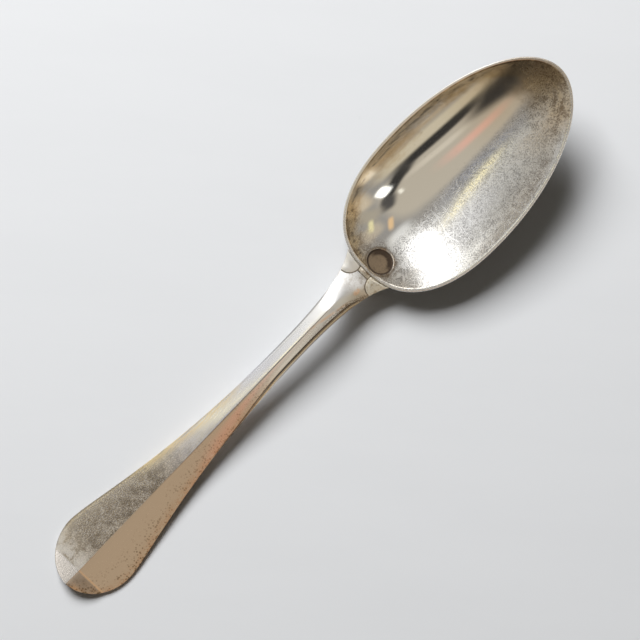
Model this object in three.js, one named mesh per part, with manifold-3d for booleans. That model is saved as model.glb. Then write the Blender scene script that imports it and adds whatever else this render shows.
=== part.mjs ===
// A wrought silver tablespoon: a raised egg-shaped bowl, hard soldered to a forged and ridged handle.
// Millimetres. X runs from the handle end to the bowl tip, Z is up, and Z = 0 is the table it lies on.
import * as THREE from 'three';
import { mergeVertices } from 'three/addons/utils/BufferGeometryUtils.js';
import Module from 'manifold-3d';

const { degToRad, lerp, smoothstep } = THREE.MathUtils;

// Whole spoon
const overallLength = 205;
const solderGap = 0.3;

// Bowl rim
const bowlLength = 79;
const bowlWidth = 44.8;
const widestToTip = 46;
const rootFullness = 2.4;
const tipFullness = 1.97;
const rootRimHeight = 7.4;
const tipRimHeight = 21.5;
const rimSag = 0.8;
const rimWidth = 0.95;
const rimRounding = 0.25;

// Bowl wall
const floorToTip = 53.5;
const floorThickness = 1.2;
const wallFullness = 2.3;
const bowlRestWidth = 4.4;

// Round punch recess at the root of the bowl
const markWidth = 8.1;
const markDepth = 0.35;
const markFromRim = 3.9;
const markOffset = 1.1;

// Handle and stem, seen from above
const handleWidth = 24.3;
const handleEndLength = 13.8;
const handleEndFullness = 2;
const handleFlareLead = 8.5;
const waistWidth = 6.83;
const waistToNose = 27.4;
const waistLead = 49.8;
const neckLead = 14.6;
const neckWidth = 9.37;
const neckToNose = 1.1;
const shoulderWidth = 18.3;
const shoulderReach = 2.35;
const seamLength = 1.6;

// Handle and stem, seen from the side
const handleThickness = 2;
const handleEndThickness = 1.5;
const waistThickness = 3.4;
const neckThickness = 3.4;
const thickeningLength = 55;
const handleRestLength = 3.8;
const handleRestToBend = 1.5;
const turnUpLength = 5.2;
const turnUpAngle = degToRad(22);
const riseLead = 34;
const archHeight = 7.8;
const archToNose = 15;
const archLead = 20;
const dipLead = 5;
const dipRunOut = 6;

// Section of the stem
const ridgeSlope = degToRad(4.2);
const waistRidgeSlope = degToRad(15);
const neckRidgeSlope = degToRad(1.5);
const waistFacetWidth = 4.2;
const edgeBevel = 0.3;
const handleSideDrop = 0.15;
const waistSideDrop = 1.3;
const handleBelly = 0.25;
const waistBelly = 1.6;
const sideFacetLead = 7.5;
const sideFacetRunOut = 20;
const topFlareToNose = 9;
const topFlareLength = 6;

// Neck joint
const lobeRadius = 3.4;
const lobeSpacing = 11.1;
const lobeToNose = 0.5;
const seamDrop = 0.45;
const lapLength = 4.6;
const heelThickness = 1.7;
const heelWidth = 9.4;
const heelLength = 9;
const heelRoundLength = 6.6;
const dropThickness = 1.4;
const dropEdge = 0.8;
const dropBelly = 0.9;
const heelBlend = 2;

// Places that follow from the sizes
const handleEndX = -overallLength / 2;
const tipX = overallLength / 2;
const rootX = tipX - bowlLength;
const widestX = tipX - widestToTip;
const floorX = tipX - floorToTip;
const noseX = rootX - seamLength;
const waistX = noseX - waistToNose;
const handleWidestX = handleEndX + handleEndLength;
const bendX = handleEndX + turnUpLength;
const restStartX = bendX + handleRestToBend;
const restEndX = restStartX + handleRestLength;
const shoulderX = rootX + shoulderReach;
const archX = noseX - archToNose;
const lapX = noseX - lapLength;
const neckBottom = rootRimHeight - neckThickness;
const lapHeight = neckBottom + heelThickness;
const lobeX = noseX + lobeToNose;
const heelEndX = rootX + heelLength;
const clearOfAll = overallLength;

// Fineness of the facets
const bowlSegments = 72;
const bowlRings = 12;
const endStations = 12;
const flareStations = 17;
const flareEasing = 1.4;
const neckStations = 16;
const shoulderStations = 4;
const heelStations = 14;
const heelSides = 10;
const discSegments = 40;

const manifold = await Module();
manifold.setup();

// Turns a closed geometry into a solid that can be joined and cut.
function solidOf(geometry) {
  const bare = new THREE.BufferGeometry();
  bare.setAttribute('position', geometry.getAttribute('position'));
  bare.setIndex(geometry.getIndex());
  const merged = mergeVertices(bare, 1e-5);
  return new manifold.Manifold(new manifold.Mesh({
    numProp: 3,
    vertProperties: new Float32Array(merged.getAttribute('position').array),
    triVerts: new Uint32Array(merged.getIndex().array),
  }));
}

// Turns a solid back into a geometry.
function geometryOf(solid) {
  const mesh = solid.getMesh();
  const geometry = new THREE.BufferGeometry();
  geometry.setAttribute('position', new THREE.BufferAttribute(mesh.vertProperties, 3));
  geometry.setIndex(new THREE.BufferAttribute(mesh.triVerts, 1));
  geometry.computeVertexNormals();
  return geometry;
}

// A closed skin through rings of equally many points, drawn together to one point at each end.
function skin(firstPole, rings, lastPole) {
  const count = rings[0].length;
  const points = [firstPole, ...rings.flat(), lastPole];
  const at = (ring, side) => 1 + ring * count + (side % count);
  const lastRing = rings.length - 1;
  const index = [];
  for (let side = 0; side < count; side += 1) {
    index.push(0, at(0, side + 1), at(0, side));
    for (let ring = 0; ring < lastRing; ring += 1) {
      index.push(at(ring, side), at(ring, side + 1), at(ring + 1, side + 1));
      index.push(at(ring, side), at(ring + 1, side + 1), at(ring + 1, side));
    }
    index.push(points.length - 1, at(lastRing, side), at(lastRing, side + 1));
  }
  const geometry = new THREE.BufferGeometry().setFromPoints(points);
  geometry.setIndex(index);
  return geometry;
}

// A box solid between two corners.
function block(low, high) {
  const size = new THREE.Vector3().subVectors(high, low);
  const middle = new THREE.Vector3().addVectors(low, high).multiplyScalar(0.5);
  const box = new THREE.BoxGeometry(size.x, size.y, size.z);
  return solidOf(box.translate(middle.x, middle.y, middle.z));
}

// The point of a curve at a given x, on a curve whose x only grows.
function pointAtX(curve, x) {
  let low = 0;
  let high = 1;
  for (let halving = 0; halving < 40; halving += 1) {
    const middle = (low + high) / 2;
    if (curve.getPoint(middle).x < x) {
      low = middle;
    } else {
      high = middle;
    }
  }
  return curve.getPoint(low);
}

// The lesser of two values, with a rounded change from one to the other.
function roundedMin(first, second, rounding) {
  const share = Math.max(rounding - Math.abs(first - second), 0) / rounding;
  return Math.min(first, second) - share * share * rounding / 4;
}

// Evenly spread values from one end to the other, without the first.
function steps(from, to, count) {
  return Array.from({ length: count }, (_, step) => lerp(from, to, (step + 1) / count));
}

// Bowl

// A point of the egg outline at an angle, grown outwards by an amount. Angle 0 is the tip.
function rimOutline(angle, grow) {
  const across = Math.sin(angle);
  const along = Math.cos(angle);
  const fullness = along > 0 ? tipFullness : rootFullness;
  const reach = along > 0 ? tipX - widestX : widestX - rootX;
  const bend = (value) => Math.sign(value) * Math.abs(value) ** (2 / fullness);
  return new THREE.Vector2(
    widestX + (reach + grow) * bend(along),
    (bowlWidth / 2 + grow) * bend(across),
  );
}

// Height of the rim along the bowl: it rises from the root to the tip and sags a little between them.
function rimHeight(x) {
  const share = (x - rootX) / bowlLength;
  return lerp(rootRimHeight, tipRimHeight, share) - rimSag * 4 * share * (1 - share);
}

// A ring of the bowl at a share of the way from the deepest point to the outline.
function bowlRing(share, grow, drop, heightAt) {
  return Array.from({ length: bowlSegments }, (_, side) => {
    const rim = rimOutline(side / bowlSegments * 2 * Math.PI, grow);
    const top = rimHeight(rim.x) - drop;
    return new THREE.Vector3(lerp(floorX, rim.x, share), rim.y * share, heightAt(top));
  });
}

// How far the outer wall has risen at a share of the way to the rim. It is flat where the spoon rests.
function outerRise(share) {
  const flat = (bowlRestWidth / bowlWidth) ** wallFullness;
  return Math.max(0, (share ** wallFullness - flat) / (1 - flat));
}

// Shares at which the outer rings lie: the edge of the flat, then even steps to the rim.
const restShare = bowlRestWidth / bowlWidth;
const outerShares = [restShare, ...steps(restShare, 1, bowlRings)];
const innerShares = steps(0, 1, bowlRings).reverse();

// The bowl filled up to above its rim, grown by a clearance: what its neighbours are cut with.
function bowlBlank(grow) {
  const rings = outerShares.map((share) => (
    bowlRing(share, grow, 0, (top) => top * outerRise(share) - grow)
  ));
  rings.push(bowlRing(1, grow, 0, () => clearOfAll));
  return solidOf(skin(
    new THREE.Vector3(floorX, 0, -grow),
    rings,
    new THREE.Vector3(floorX, 0, clearOfAll),
  ));
}

// Height of the outer wall over a place in the root half of the bowl, or of the rim beyond it.
function outerHeight(x, y) {
  const bearing = Math.atan2(Math.abs(y), x - floorX);
  let low = 0;
  let high = Math.PI;
  for (let halving = 0; halving < 40; halving += 1) {
    const middle = (low + high) / 2;
    const rim = rimOutline(middle, 0);
    if (Math.atan2(rim.y, rim.x - floorX) < bearing) {
      low = middle;
    } else {
      high = middle;
    }
  }
  const rim = rimOutline(low, 0);
  const share = Math.hypot(x - floorX, y) / Math.hypot(rim.x - floorX, rim.y);
  return rimHeight(rim.x) * outerRise(Math.min(share, 1));
}

// A ring of the inner wall at a share of the way from the deepest point to the rim.
function innerRing(share) {
  return bowlRing(share, -rimWidth, 0, (top) => lerp(floorThickness, top, share ** wallFullness));
}

// The hollow inside the inner wall, carried on upwards.
function bowlHollow() {
  const rings = [...innerShares].reverse().map(innerRing);
  rings.push(bowlRing(1, -rimWidth, 0, () => clearOfAll));
  return solidOf(skin(
    new THREE.Vector3(floorX, 0, floorThickness),
    rings,
    new THREE.Vector3(floorX, 0, clearOfAll),
  ));
}

// What the round punch drove back: the hollow, moved into the root wall, within a circle square to the wall.
function markStrike() {
  const rimX = rootX + rimWidth;
  const share = 1 - markFromRim / (floorX - rimX);
  const height = lerp(floorThickness, rootRimHeight, share ** wallFullness);
  const rise = (rootRimHeight - floorThickness) * wallFullness * share ** (wallFullness - 1);
  const slope = Math.atan2(rise, floorX - rimX);
  const punch = new THREE.CylinderGeometry(markWidth / 2, markWidth / 2, markWidth, discSegments);
  punch.rotateX(Math.PI / 2);
  punch.rotateY(slope);
  punch.translate(rimX + markFromRim, -markOffset, height);
  const driven = bowlHollow().translate(-markDepth * Math.sin(slope), 0, -markDepth * Math.cos(slope));
  return solidOf(punch).intersect(driven);
}

function makeBowl() {
  const rings = outerShares.map((share) => (
    bowlRing(share, 0, rimRounding * share, (top) => top * outerRise(share))
  ));
  rings.push(bowlRing(1, -rimRounding, 0, (top) => top));
  rings.push(...innerShares.map(innerRing));
  const shell = solidOf(skin(
    new THREE.Vector3(floorX, 0, 0),
    rings,
    new THREE.Vector3(floorX, 0, floorThickness),
  ));
  return shell.subtract(markStrike());
}

// Stem

const handleFlare = new THREE.CubicBezierCurve(
  new THREE.Vector2(handleWidestX, handleWidth / 2),
  new THREE.Vector2(handleWidestX + handleFlareLead, handleWidth / 2),
  new THREE.Vector2(waistX - waistLead, waistWidth / 2),
  new THREE.Vector2(waistX, waistWidth / 2),
);
const neckFlare = new THREE.CubicBezierCurve(
  new THREE.Vector2(waistX, waistWidth / 2),
  new THREE.Vector2(waistX + neckLead, waistWidth / 2),
  new THREE.Vector2(noseX - neckToNose, neckWidth / 2),
  new THREE.Vector2(shoulderX, shoulderWidth / 2),
);
const backRise = new THREE.CubicBezierCurve(
  new THREE.Vector2(restEndX, 0),
  new THREE.Vector2(restEndX + riseLead, 0),
  new THREE.Vector2(archX - archLead, archHeight),
  new THREE.Vector2(archX, archHeight),
);
const backDip = new THREE.CubicBezierCurve(
  new THREE.Vector2(archX, archHeight),
  new THREE.Vector2(archX + dipLead, archHeight),
  new THREE.Vector2(noseX - dipRunOut, neckBottom),
  new THREE.Vector2(noseX, neckBottom),
);

// Half the width of the handle and stem along the spoon.
function stemHalfWidth(x) {
  if (x < handleWidestX) {
    const share = (handleWidestX - x) / handleEndLength;
    return handleWidth / 2 * (1 - share ** handleEndFullness) ** (1 / handleEndFullness);
  }
  return pointAtX(x < waistX ? handleFlare : neckFlare, x).y;
}

// Height of the back of the handle and stem: turned up at the end, flat where it rests, then an arch that
// rises along the stem and dips to the neck.
function stemBack(x) {
  if (x < restStartX) {
    const bent = restStartX - x;
    const zone = 2 * handleRestToBend;
    const run = bent < zone ? bent * bent / (2 * zone) : bent - handleRestToBend;
    return run * Math.tan(turnUpAngle);
  }
  if (x < restEndX) {
    return 0;
  }
  return pointAtX(x < archX ? backRise : backDip, Math.min(x, noseX)).y;
}

// Thickness of the handle and stem on the ridge.
function stemThickness(x) {
  if (x < restStartX) {
    return lerp(handleEndThickness, handleThickness, smoothstep(x, handleEndX, restStartX));
  }
  const thickened = smoothstep(x, waistX - thickeningLength, waistX);
  const waisted = lerp(handleThickness, waistThickness, thickened);
  return lerp(waisted, neckThickness, smoothstep(x, waistX, noseX));
}

// How the sloping side bulges, and how the back rounds: shares of the way across and of the way up or down.
const sideBulge = { across: 0.6, down: 0.4 };
const backRound = [
  { across: 0.92, up: 0.45 },
  { across: 0.7, up: 0.14 },
  { across: 0.38, up: 0.03 },
];

// One section of the stem, a closed ring that runs round as seen from the bowl.
function stemSection(x) {
  const halfWidth = stemHalfWidth(x);
  const thickening = smoothstep(x, waistX - thickeningLength, waistX);
  const facetEnd = waistX - sideFacetLead;
  const intoWaist = smoothstep(x, facetEnd - sideFacetRunOut, facetEnd);
  const intoNeck = smoothstep(x, noseX - topFlareToNose, noseX - topFlareToNose + topFlareLength);
  const waisted = intoWaist * (1 - intoNeck);
  const facet = lerp(Math.max(halfWidth - edgeBevel, halfWidth / 2), waistFacetWidth / 2, waisted);
  const slope = lerp(lerp(ridgeSlope, waistRidgeSlope, thickening), neckRidgeSlope, intoNeck);
  const top = stemBack(x) + stemThickness(x);
  const intoBowl = Math.max(0, (x - noseX) / (shoulderX - noseX));
  const back = lerp(stemBack(x), top - edgeBevel, intoBowl * intoBowl);
  const facetHeight = top - facet * Math.tan(slope);
  const drop = lerp(handleSideDrop, waistSideDrop, waisted);
  const belly = Math.min(lerp(handleBelly, waistBelly, thickening), (facetHeight - drop - back) / 2);
  const half = [
    [facet, facetHeight],
    [lerp(facet, halfWidth, sideBulge.across), facetHeight - drop * sideBulge.down],
    [halfWidth, facetHeight - drop],
    [halfWidth, back + belly],
    ...backRound.map(({ across, up }) => [halfWidth * across, back + thickening * belly * up]),
  ];
  const left = half.map(([y, z]) => new THREE.Vector3(x, -y, z));
  const right = half.map(([y, z]) => new THREE.Vector3(x, y, z)).reverse();
  return [new THREE.Vector3(x, 0, top), ...left, new THREE.Vector3(x, 0, back), ...right];
}

// The stem carried on over the shoulders to inside the bowl, before the neck pieces are parted from it.
function stemBlank() {
  const ends = steps(0, Math.PI / 2, endStations);
  const stations = [
    ...ends.map((angle) => handleWidestX - handleEndLength * Math.cos(angle)),
    restStartX,
    restEndX,
    ...steps(0, 1, flareStations).map((share) => lerp(handleWidestX, waistX, share ** flareEasing)),
    ...steps(waistX, noseX, neckStations),
    ...steps(noseX, shoulderX, shoulderStations),
  ].sort((first, second) => first - second);
  const sections = stations.map(stemSection);
  const middleOf = (ring) => ring.reduce((sum, point) => sum.add(point), new THREE.Vector3())
    .divideScalar(ring.length);
  const end = middleOf(sections[0]).setX(handleEndX);
  return solidOf(skin(end, sections, middleOf(sections.at(-1))));
}

// The upright disc that bounds one shoulder lobe, grown by a clearance. Side is 1 for left and -1 for right.
function lobeDisc(side, grow) {
  const disc = new THREE.CylinderGeometry(lobeRadius + grow, lobeRadius + grow, clearOfAll, discSegments);
  disc.rotateX(Math.PI / 2);
  return solidOf(disc.translate(lobeX, side * lobeSpacing / 2, 0));
}

// All that lies beyond a plane across the spoon, and above a level.
function beyond(x, level) {
  return block(
    new THREE.Vector3(x, -clearOfAll, level),
    new THREE.Vector3(clearOfAll, clearOfAll, clearOfAll),
  );
}

// All that lies beyond a plane across the spoon, and below a level.
function beneath(x, level) {
  return block(
    new THREE.Vector3(x, -clearOfAll, -clearOfAll),
    new THREE.Vector3(clearOfAll, clearOfAll, level),
  );
}

function makeStem(blank) {
  return blank
    .subtract(beneath(lapX, lapHeight))
    .subtract(beyond(noseX, -clearOfAll))
    .subtract(lobeDisc(1, solderGap))
    .subtract(lobeDisc(-1, solderGap));
}

function makeShoulder(blank, side) {
  return blank
    .intersect(lobeDisc(side, 0))
    .subtract(beneath(lapX, lapHeight))
    .subtract(bowlBlank(solderGap));
}

function makeNeckSeam(blank) {
  const strip = block(
    new THREE.Vector3(noseX + solderGap, -lobeSpacing / 2, lapHeight),
    new THREE.Vector3(floorX, lobeSpacing / 2, rootRimHeight - seamDrop),
  );
  return blank
    .intersect(strip)
    .subtract(lobeDisc(1, solderGap))
    .subtract(lobeDisc(-1, solderGap))
    .subtract(bowlBlank(solderGap));
}

// One section of the tongue, reaching up into the bowl so that the bowl's back cuts it to fit.
function dropSection(x) {
  const roundStart = heelEndX - heelRoundLength;
  const rounded = Math.max(0, (x - roundStart) / heelRoundLength);
  const halfWidth = heelWidth / 2 * Math.sqrt(1 - rounded * rounded);
  const bottom = Array.from({ length: heelSides + 1 }, (_, side) => {
    const across = lerp(-1, 1, side / heelSides);
    const y = halfWidth * across;
    const underNeck = neckBottom + dropBelly * across * across;
    const underBowl = outerHeight(x, y) - lerp(dropThickness, dropEdge, across * across);
    return new THREE.Vector3(x, y, roundedMin(underNeck, underBowl, heelBlend));
  });
  const top = outerHeight(x, halfWidth) + floorThickness;
  return [...bottom, new THREE.Vector3(x, halfWidth, top), new THREE.Vector3(x, -halfWidth, top)];
}

function makeHeelDrop(blank) {
  const angles = steps(0, Math.PI / 2, heelStations);
  const stations = angles.map((angle) => lerp(noseX, heelEndX, Math.sin(angle)));
  stations.pop();
  const sections = [noseX, ...stations].map(dropSection);
  const startPole = new THREE.Vector3(noseX, 0, rootRimHeight);
  const endPole = new THREE.Vector3(heelEndX, 0, outerHeight(heelEndX, 0));
  const tongue = solidOf(skin(startPole, sections, endPole));
  return blank
    .intersect(beneath(lapX + solderGap, lapHeight - solderGap))
    .add(tongue.subtract(beyond(-clearOfAll, lapHeight - solderGap)))
    .subtract(bowlBlank(solderGap));
}

// The spoon

function piece(name, solid, color, roughness) {
  const material = new THREE.MeshStandardMaterial({ color, roughness, metalness: 1 });
  const mesh = new THREE.Mesh(geometryOf(solid), material);
  mesh.name = name;
  return mesh;
}

const blank = stemBlank();
const spoon = new THREE.Group();
spoon.add(
  piece('bowl', makeBowl(), 0xc4bfb4, 0.3),
  piece('stem', makeStem(blank), 0xbdb3a4, 0.35),
  piece('heel_drop', makeHeelDrop(blank), 0xb8b0a4, 0.38),
  piece('left_shoulder', makeShoulder(blank, 1), 0xc9c4ba, 0.32),
  piece('right_shoulder', makeShoulder(blank, -1), 0xc9c4ba, 0.32),
  piece('neck_seam', makeNeckSeam(blank), 0xa89a86, 0.45),
);

export default spoon;
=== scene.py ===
"""Dresses a wrought silver funeral spoon, lying on a pale painted table.

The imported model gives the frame. The bowl and the stem are remodelled here with fine surfaces, the small
pieces of the neck joint are copied from the frame and softened, and each piece gets a worn silver finish of
its own. Lengths are in metres, and in millimetres inside the finishes. X runs from the handle end to the tip
of the bowl, Y to the left and Z up, from the table.
"""

import logging
import math
from dataclasses import dataclass
from enum import Enum
from typing import Callable, Optional, Sequence, Union

import bmesh
import bpy
from mathutils import Matrix, Vector


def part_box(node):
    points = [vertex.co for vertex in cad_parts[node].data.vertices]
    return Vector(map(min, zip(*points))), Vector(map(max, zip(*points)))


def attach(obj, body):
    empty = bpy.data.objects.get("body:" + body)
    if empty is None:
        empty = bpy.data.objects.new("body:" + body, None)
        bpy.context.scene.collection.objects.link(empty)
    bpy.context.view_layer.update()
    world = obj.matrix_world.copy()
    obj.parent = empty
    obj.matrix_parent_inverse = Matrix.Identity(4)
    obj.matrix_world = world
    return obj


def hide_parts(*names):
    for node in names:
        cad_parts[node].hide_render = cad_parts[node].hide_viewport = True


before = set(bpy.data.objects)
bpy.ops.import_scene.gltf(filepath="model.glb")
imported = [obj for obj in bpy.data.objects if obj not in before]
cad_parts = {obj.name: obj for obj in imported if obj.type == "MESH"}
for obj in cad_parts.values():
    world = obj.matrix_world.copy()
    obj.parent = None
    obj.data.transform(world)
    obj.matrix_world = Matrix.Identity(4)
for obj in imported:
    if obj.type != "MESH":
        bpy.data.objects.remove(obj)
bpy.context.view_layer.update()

LOG = logging.getLogger("spoon")
MM = 0.001
BODY = "root"
INSET = "inset"
HALVINGS = 40
# The table takes no light from the bowl, whose bright mirror would throw too much on it.
MIRROR_NODE = "bowl"
# Straight up has no direction along the table, so its distance from the vertical is kept above this.
LEAST_FLAT = 1e-4
Colour = tuple[float, float, float]
Pair = tuple[float, float]
Number = Union[float, "Shade"]
Paint = Union["Shade", Colour]


def lerp(first: float, last: float, share: float) -> float:
    """The value at a share of the way from the first to the last."""
    return first + (last - first) * share


def ease(value: float, low: float, high: float) -> float:
    """A smooth step from 0 at low to 1 at high."""
    share = min(max((value - low) / (high - low), 0.0), 1.0)
    return share * share * (3.0 - 2.0 * share)


def spread(first: float, last: float, count: int) -> list[float]:
    """A count of evenly spread values from the first, which is left out, to the last, which is kept."""
    return [lerp(first, last, (step + 1) / count) for step in range(count)]


def bend(value: float, power: float) -> float:
    """A power that keeps the sign."""
    return math.copysign(abs(value) ** power, value)


@dataclass(frozen=True)
class Bezier:
    """A cubic curve in a plane, whose first coordinate only grows.

    Attributes:
        points: the two ends and the two handles between them.
    """

    points: tuple[Pair, ...]

    @classmethod
    def level(cls, start: Pair, end: Pair, lead: float, run_out: float) -> "Bezier":
        """A curve that is level at both ends, with handles of a lead and a run-out."""
        return cls((start, (start[0] + lead, start[1]), (end[0] - run_out, end[1]), end))

    def at(self, share: float) -> Pair:
        """The point at a share of the way along.

        Args:
            share: from 0 to 1.

        Returns:
            Both coordinates.
        """
        rest = 1.0 - share
        weights = (rest ** 3, 3 * rest ** 2 * share, 3 * rest * share ** 2, share ** 3)
        first = sum(weight * point[0] for weight, point in zip(weights, self.points))
        second = sum(weight * point[1] for weight, point in zip(weights, self.points))
        return first, second

    def height(self, x: float) -> float:
        """The second coordinate where the first one is x.

        Args:
            x: the first coordinate.

        Returns:
            The second coordinate.
        """
        low, high = 0.0, 1.0
        for _ in range(HALVINGS):
            middle = (low + high) / 2
            if self.at(middle)[0] < x:
                low = middle
            else:
                high = middle
        return self.at(low)[1]


def operator(operation: str, reflected: bool = False) -> Callable[..., "Shade"]:
    """Makes a method of Shade that adds a Math node.

    Args:
        operation: the node's operation.
        reflected: whether the shade stands on the right of the operator.

    Returns:
        The method.
    """
    def applied(shade: "Shade", other: Number = 0.0) -> "Shade":
        """The result of the operation on this shade and the other value."""
        first, second = (other, shade) if reflected else (shade, other)
        node = shade.graph.node("ShaderNodeMath", {"operation": operation}, {0: first, 1: second})
        return Shade(shade.graph, node.outputs[0])

    return applied


class Shade:
    """A shader value or vector that can stand in a Python expression."""

    __add__, __radd__ = operator("ADD"), operator("ADD", True)
    __sub__, __rsub__ = operator("SUBTRACT"), operator("SUBTRACT", True)
    __mul__, __rmul__ = operator("MULTIPLY"), operator("MULTIPLY", True)
    __truediv__, __rtruediv__ = operator("DIVIDE"), operator("DIVIDE", True)
    __pow__, __rpow__ = operator("POWER"), operator("POWER", True)
    __abs__ = operator("ABSOLUTE")
    at_most = operator("MINIMUM")
    at_least = operator("MAXIMUM")
    root = operator("SQRT")
    arccos = operator("ARCCOSINE")

    def __init__(self, graph: "Graph", socket: bpy.types.NodeSocket) -> None:
        """Wraps the output socket that gives the value, in its node tree."""
        self.graph = graph
        self.socket = socket

    def step(self, low: float, high: float) -> "Shade":
        """A smooth step.

        Args:
            low: the value at which it gives 0.
            high: the value at which it gives 1, which may be the lesser one.

        Returns:
            The step, from 0 to 1.
        """
        (least, start), (most, end) = sorted(((low, 0.0), (high, 1.0)))
        inputs = {0: self, 1: least, 2: most, 3: start, 4: end}
        node = self.graph.node("ShaderNodeMapRange", {"interpolation_type": "SMOOTHSTEP"}, inputs)
        return Shade(self.graph, node.outputs[0])

    def band(self, middle: float, reach: float) -> "Shade":
        """A soft hump of 1 at a middle value, falling to 0 at a reach on both sides."""
        return abs(self - middle).step(reach, 0.0)


class Blend(Enum):
    """How a colour meets the one below it."""

    COVER = "MIX"
    GLAZE = "MULTIPLY"


class Graph:
    """The node tree of a material or of the world."""

    def __init__(self, tree: bpy.types.NodeTree) -> None:
        """Empties a node tree to build in."""
        self.tree = tree
        tree.nodes.clear()

    def node(self, kind: str, settings: Optional[dict] = None,
             inputs: Optional[dict] = None) -> bpy.types.Node:
        """Makes one node.

        Args:
            kind: the node's type.
            settings: its own settings, set first.
            inputs: values or links for its sockets, by name or by number.

        Returns:
            The node.
        """
        made = self.tree.nodes.new(kind)
        for name, value in (settings or {}).items():
            setattr(made, name, value)
        for key, value in (inputs or {}).items():
            if isinstance(value, Shade):
                self.tree.links.new(value.socket, made.inputs[key])
            elif isinstance(value, bpy.types.NodeSocket):
                self.tree.links.new(value, made.inputs[key])
            elif isinstance(value, tuple) and len(value) == 3 and made.inputs[key].type == "RGBA":
                made.inputs[key].default_value = (*value, 1.0)
            else:
                made.inputs[key].default_value = value
        return made

    def split(self, vector: bpy.types.NodeSocket) -> list[Shade]:
        """The parts of a vector along X, Y and Z."""
        node = self.node("ShaderNodeSeparateXYZ", inputs={0: vector})
        return [Shade(self, output) for output in node.outputs]

    def mix(self, share: Number, first: Paint, second: Paint, blend: Blend = Blend.COVER) -> Shade:
        """A colour with another one on it.

        Args:
            share: how far the second colour takes effect, from 0 to 1.
            first: the colour below.
            second: the colour on it.
            blend: how they meet.

        Returns:
            The mixed colour.
        """
        settings = {"data_type": "RGBA", "blend_type": blend.value, "clamp_factor": True}
        node = self.node("ShaderNodeMix", settings, {0: share, 6: first, 7: second})
        return Shade(self, node.outputs[2])


class Surface(Graph):
    """A material's node tree, with the piece's own coordinates in millimetres and the colour laid so far."""

    def __init__(self, name: str, colour: Colour) -> None:
        """Makes the material.

        Args:
            name: the material's name.
            colour: the colour that others are laid on.
        """
        self.material = bpy.data.materials.new(name)
        self.material.use_nodes = True
        super().__init__(self.material.node_tree)
        self.place = self.node("ShaderNodeTexCoord").outputs["Object"]
        self.x, self.y = (part * (1.0 / MM) for part in self.split(self.place)[:2])
        self.colour: Paint = colour

    def lay(self, colour: Paint, share: Number, blend: Blend = Blend.COVER) -> None:
        """Lays a colour on what there is, as far as the share says."""
        self.colour = self.mix(share, self.colour, colour, blend)

    def stretched(self, scale: Union[float, Sequence[float]], turn: float, shift: float) -> Shade:
        """The piece's coordinates, turned about Z and stretched.

        Args:
            scale: how many pattern cells there are to a millimetre, one number or one for each axis.
            turn: the turn about Z, in radians.
            shift: how far the pattern is moved, so that two patterns differ.

        Returns:
            The coordinates.
        """
        parts = (scale, scale, scale) if isinstance(scale, float) else scale
        turned = self.node("ShaderNodeMapping", inputs={"Vector": self.place, "Rotation": (0.0, 0.0, turn)})
        inputs = {"Vector": turned.outputs[0], "Location": (shift, shift, shift),
                  "Scale": [part / MM for part in parts]}
        return Shade(self, self.node("ShaderNodeMapping", inputs=inputs).outputs[0])

    def noise(self, scale: Union[float, Sequence[float]], detail: float = 3.0, rough: float = 0.55,
              turn: float = 0.0, shift: float = 0.0) -> Shade:
        """Cloudy noise round 0.5.

        Args:
            scale: how many clouds there are to a millimetre, one number or one for each axis.
            detail: how many finer layers there are.
            rough: how strong the finer layers are.
            turn: the pattern's turn about Z, in radians.
            shift: how far the pattern is moved.

        Returns:
            The noise.
        """
        vector = self.stretched(scale, turn, shift)
        inputs = {"Vector": vector, "Scale": 1.0, "Detail": detail, "Roughness": rough}
        return Shade(self, self.node("ShaderNodeTexNoise", {"noise_dimensions": "3D"}, inputs).outputs[0])

    def specks(self, scale: float) -> Shade:
        """Distance in cells to the nearest of many scattered points, so many of them to a millimetre."""
        inputs = {"Vector": self.stretched(scale, 0.0, 0.0), "Scale": 1.0, "Randomness": 1.0}
        return Shade(self, self.node("ShaderNodeTexVoronoi", {"feature": "F1"}, inputs).outputs[0])

    def scratches(self, turn: float, fine: float, long: float, shift: float) -> Shade:
        """Thin straight scratches that lie about one way, seen from above.

        Args:
            turn: the way that they lie, in radians from X.
            fine: how many there are to a millimetre across.
            long: how many there are to a millimetre along.
            shift: how far the pattern is moved.

        Returns:
            1 on a scratch and 0 beside it.
        """
        lines = self.noise((long * 0.3, fine, 0.0), 0.0, 0.5, turn, shift)
        breaks = self.noise((long, fine * 0.6, 0.0), 1.0, 0.5, turn, shift + 2.0)
        return lines.band(0.5, 0.055) * breaks.step(0.53, 0.62)

    def inset(self) -> Shade:
        """How far a point lies in from the piece's outline, in millimetres, as noted on its mesh."""
        return Shade(self, self.node("ShaderNodeAttribute", {"attribute_name": INSET}).outputs["Fac"])

    def finish(self, metallic: Number, roughness: Number, height: Optional[Shade] = None,
               relief: float = 0.0) -> bpy.types.Material:
        """Ends the material in one shader, with the colour laid so far.

        Args:
            metallic: how metallic it is.
            roughness: how rough it is.
            height: the fine relief of the surface, round 0.5, or nothing.
            relief: how deep the relief is, in metres.

        Returns:
            The material.
        """
        inputs = {"Base Color": self.colour, "Metallic": metallic, "Roughness": roughness}
        if height is not None:
            bump = self.node("ShaderNodeBump", inputs={"Strength": 1.0, "Distance": relief, "Height": height})
            inputs["Normal"] = bump.outputs[0]
        shader = self.node("ShaderNodeBsdfPrincipled", inputs=inputs)
        self.node("ShaderNodeOutputMaterial", inputs={"Surface": shader.outputs[0]})
        return self.material


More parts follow.
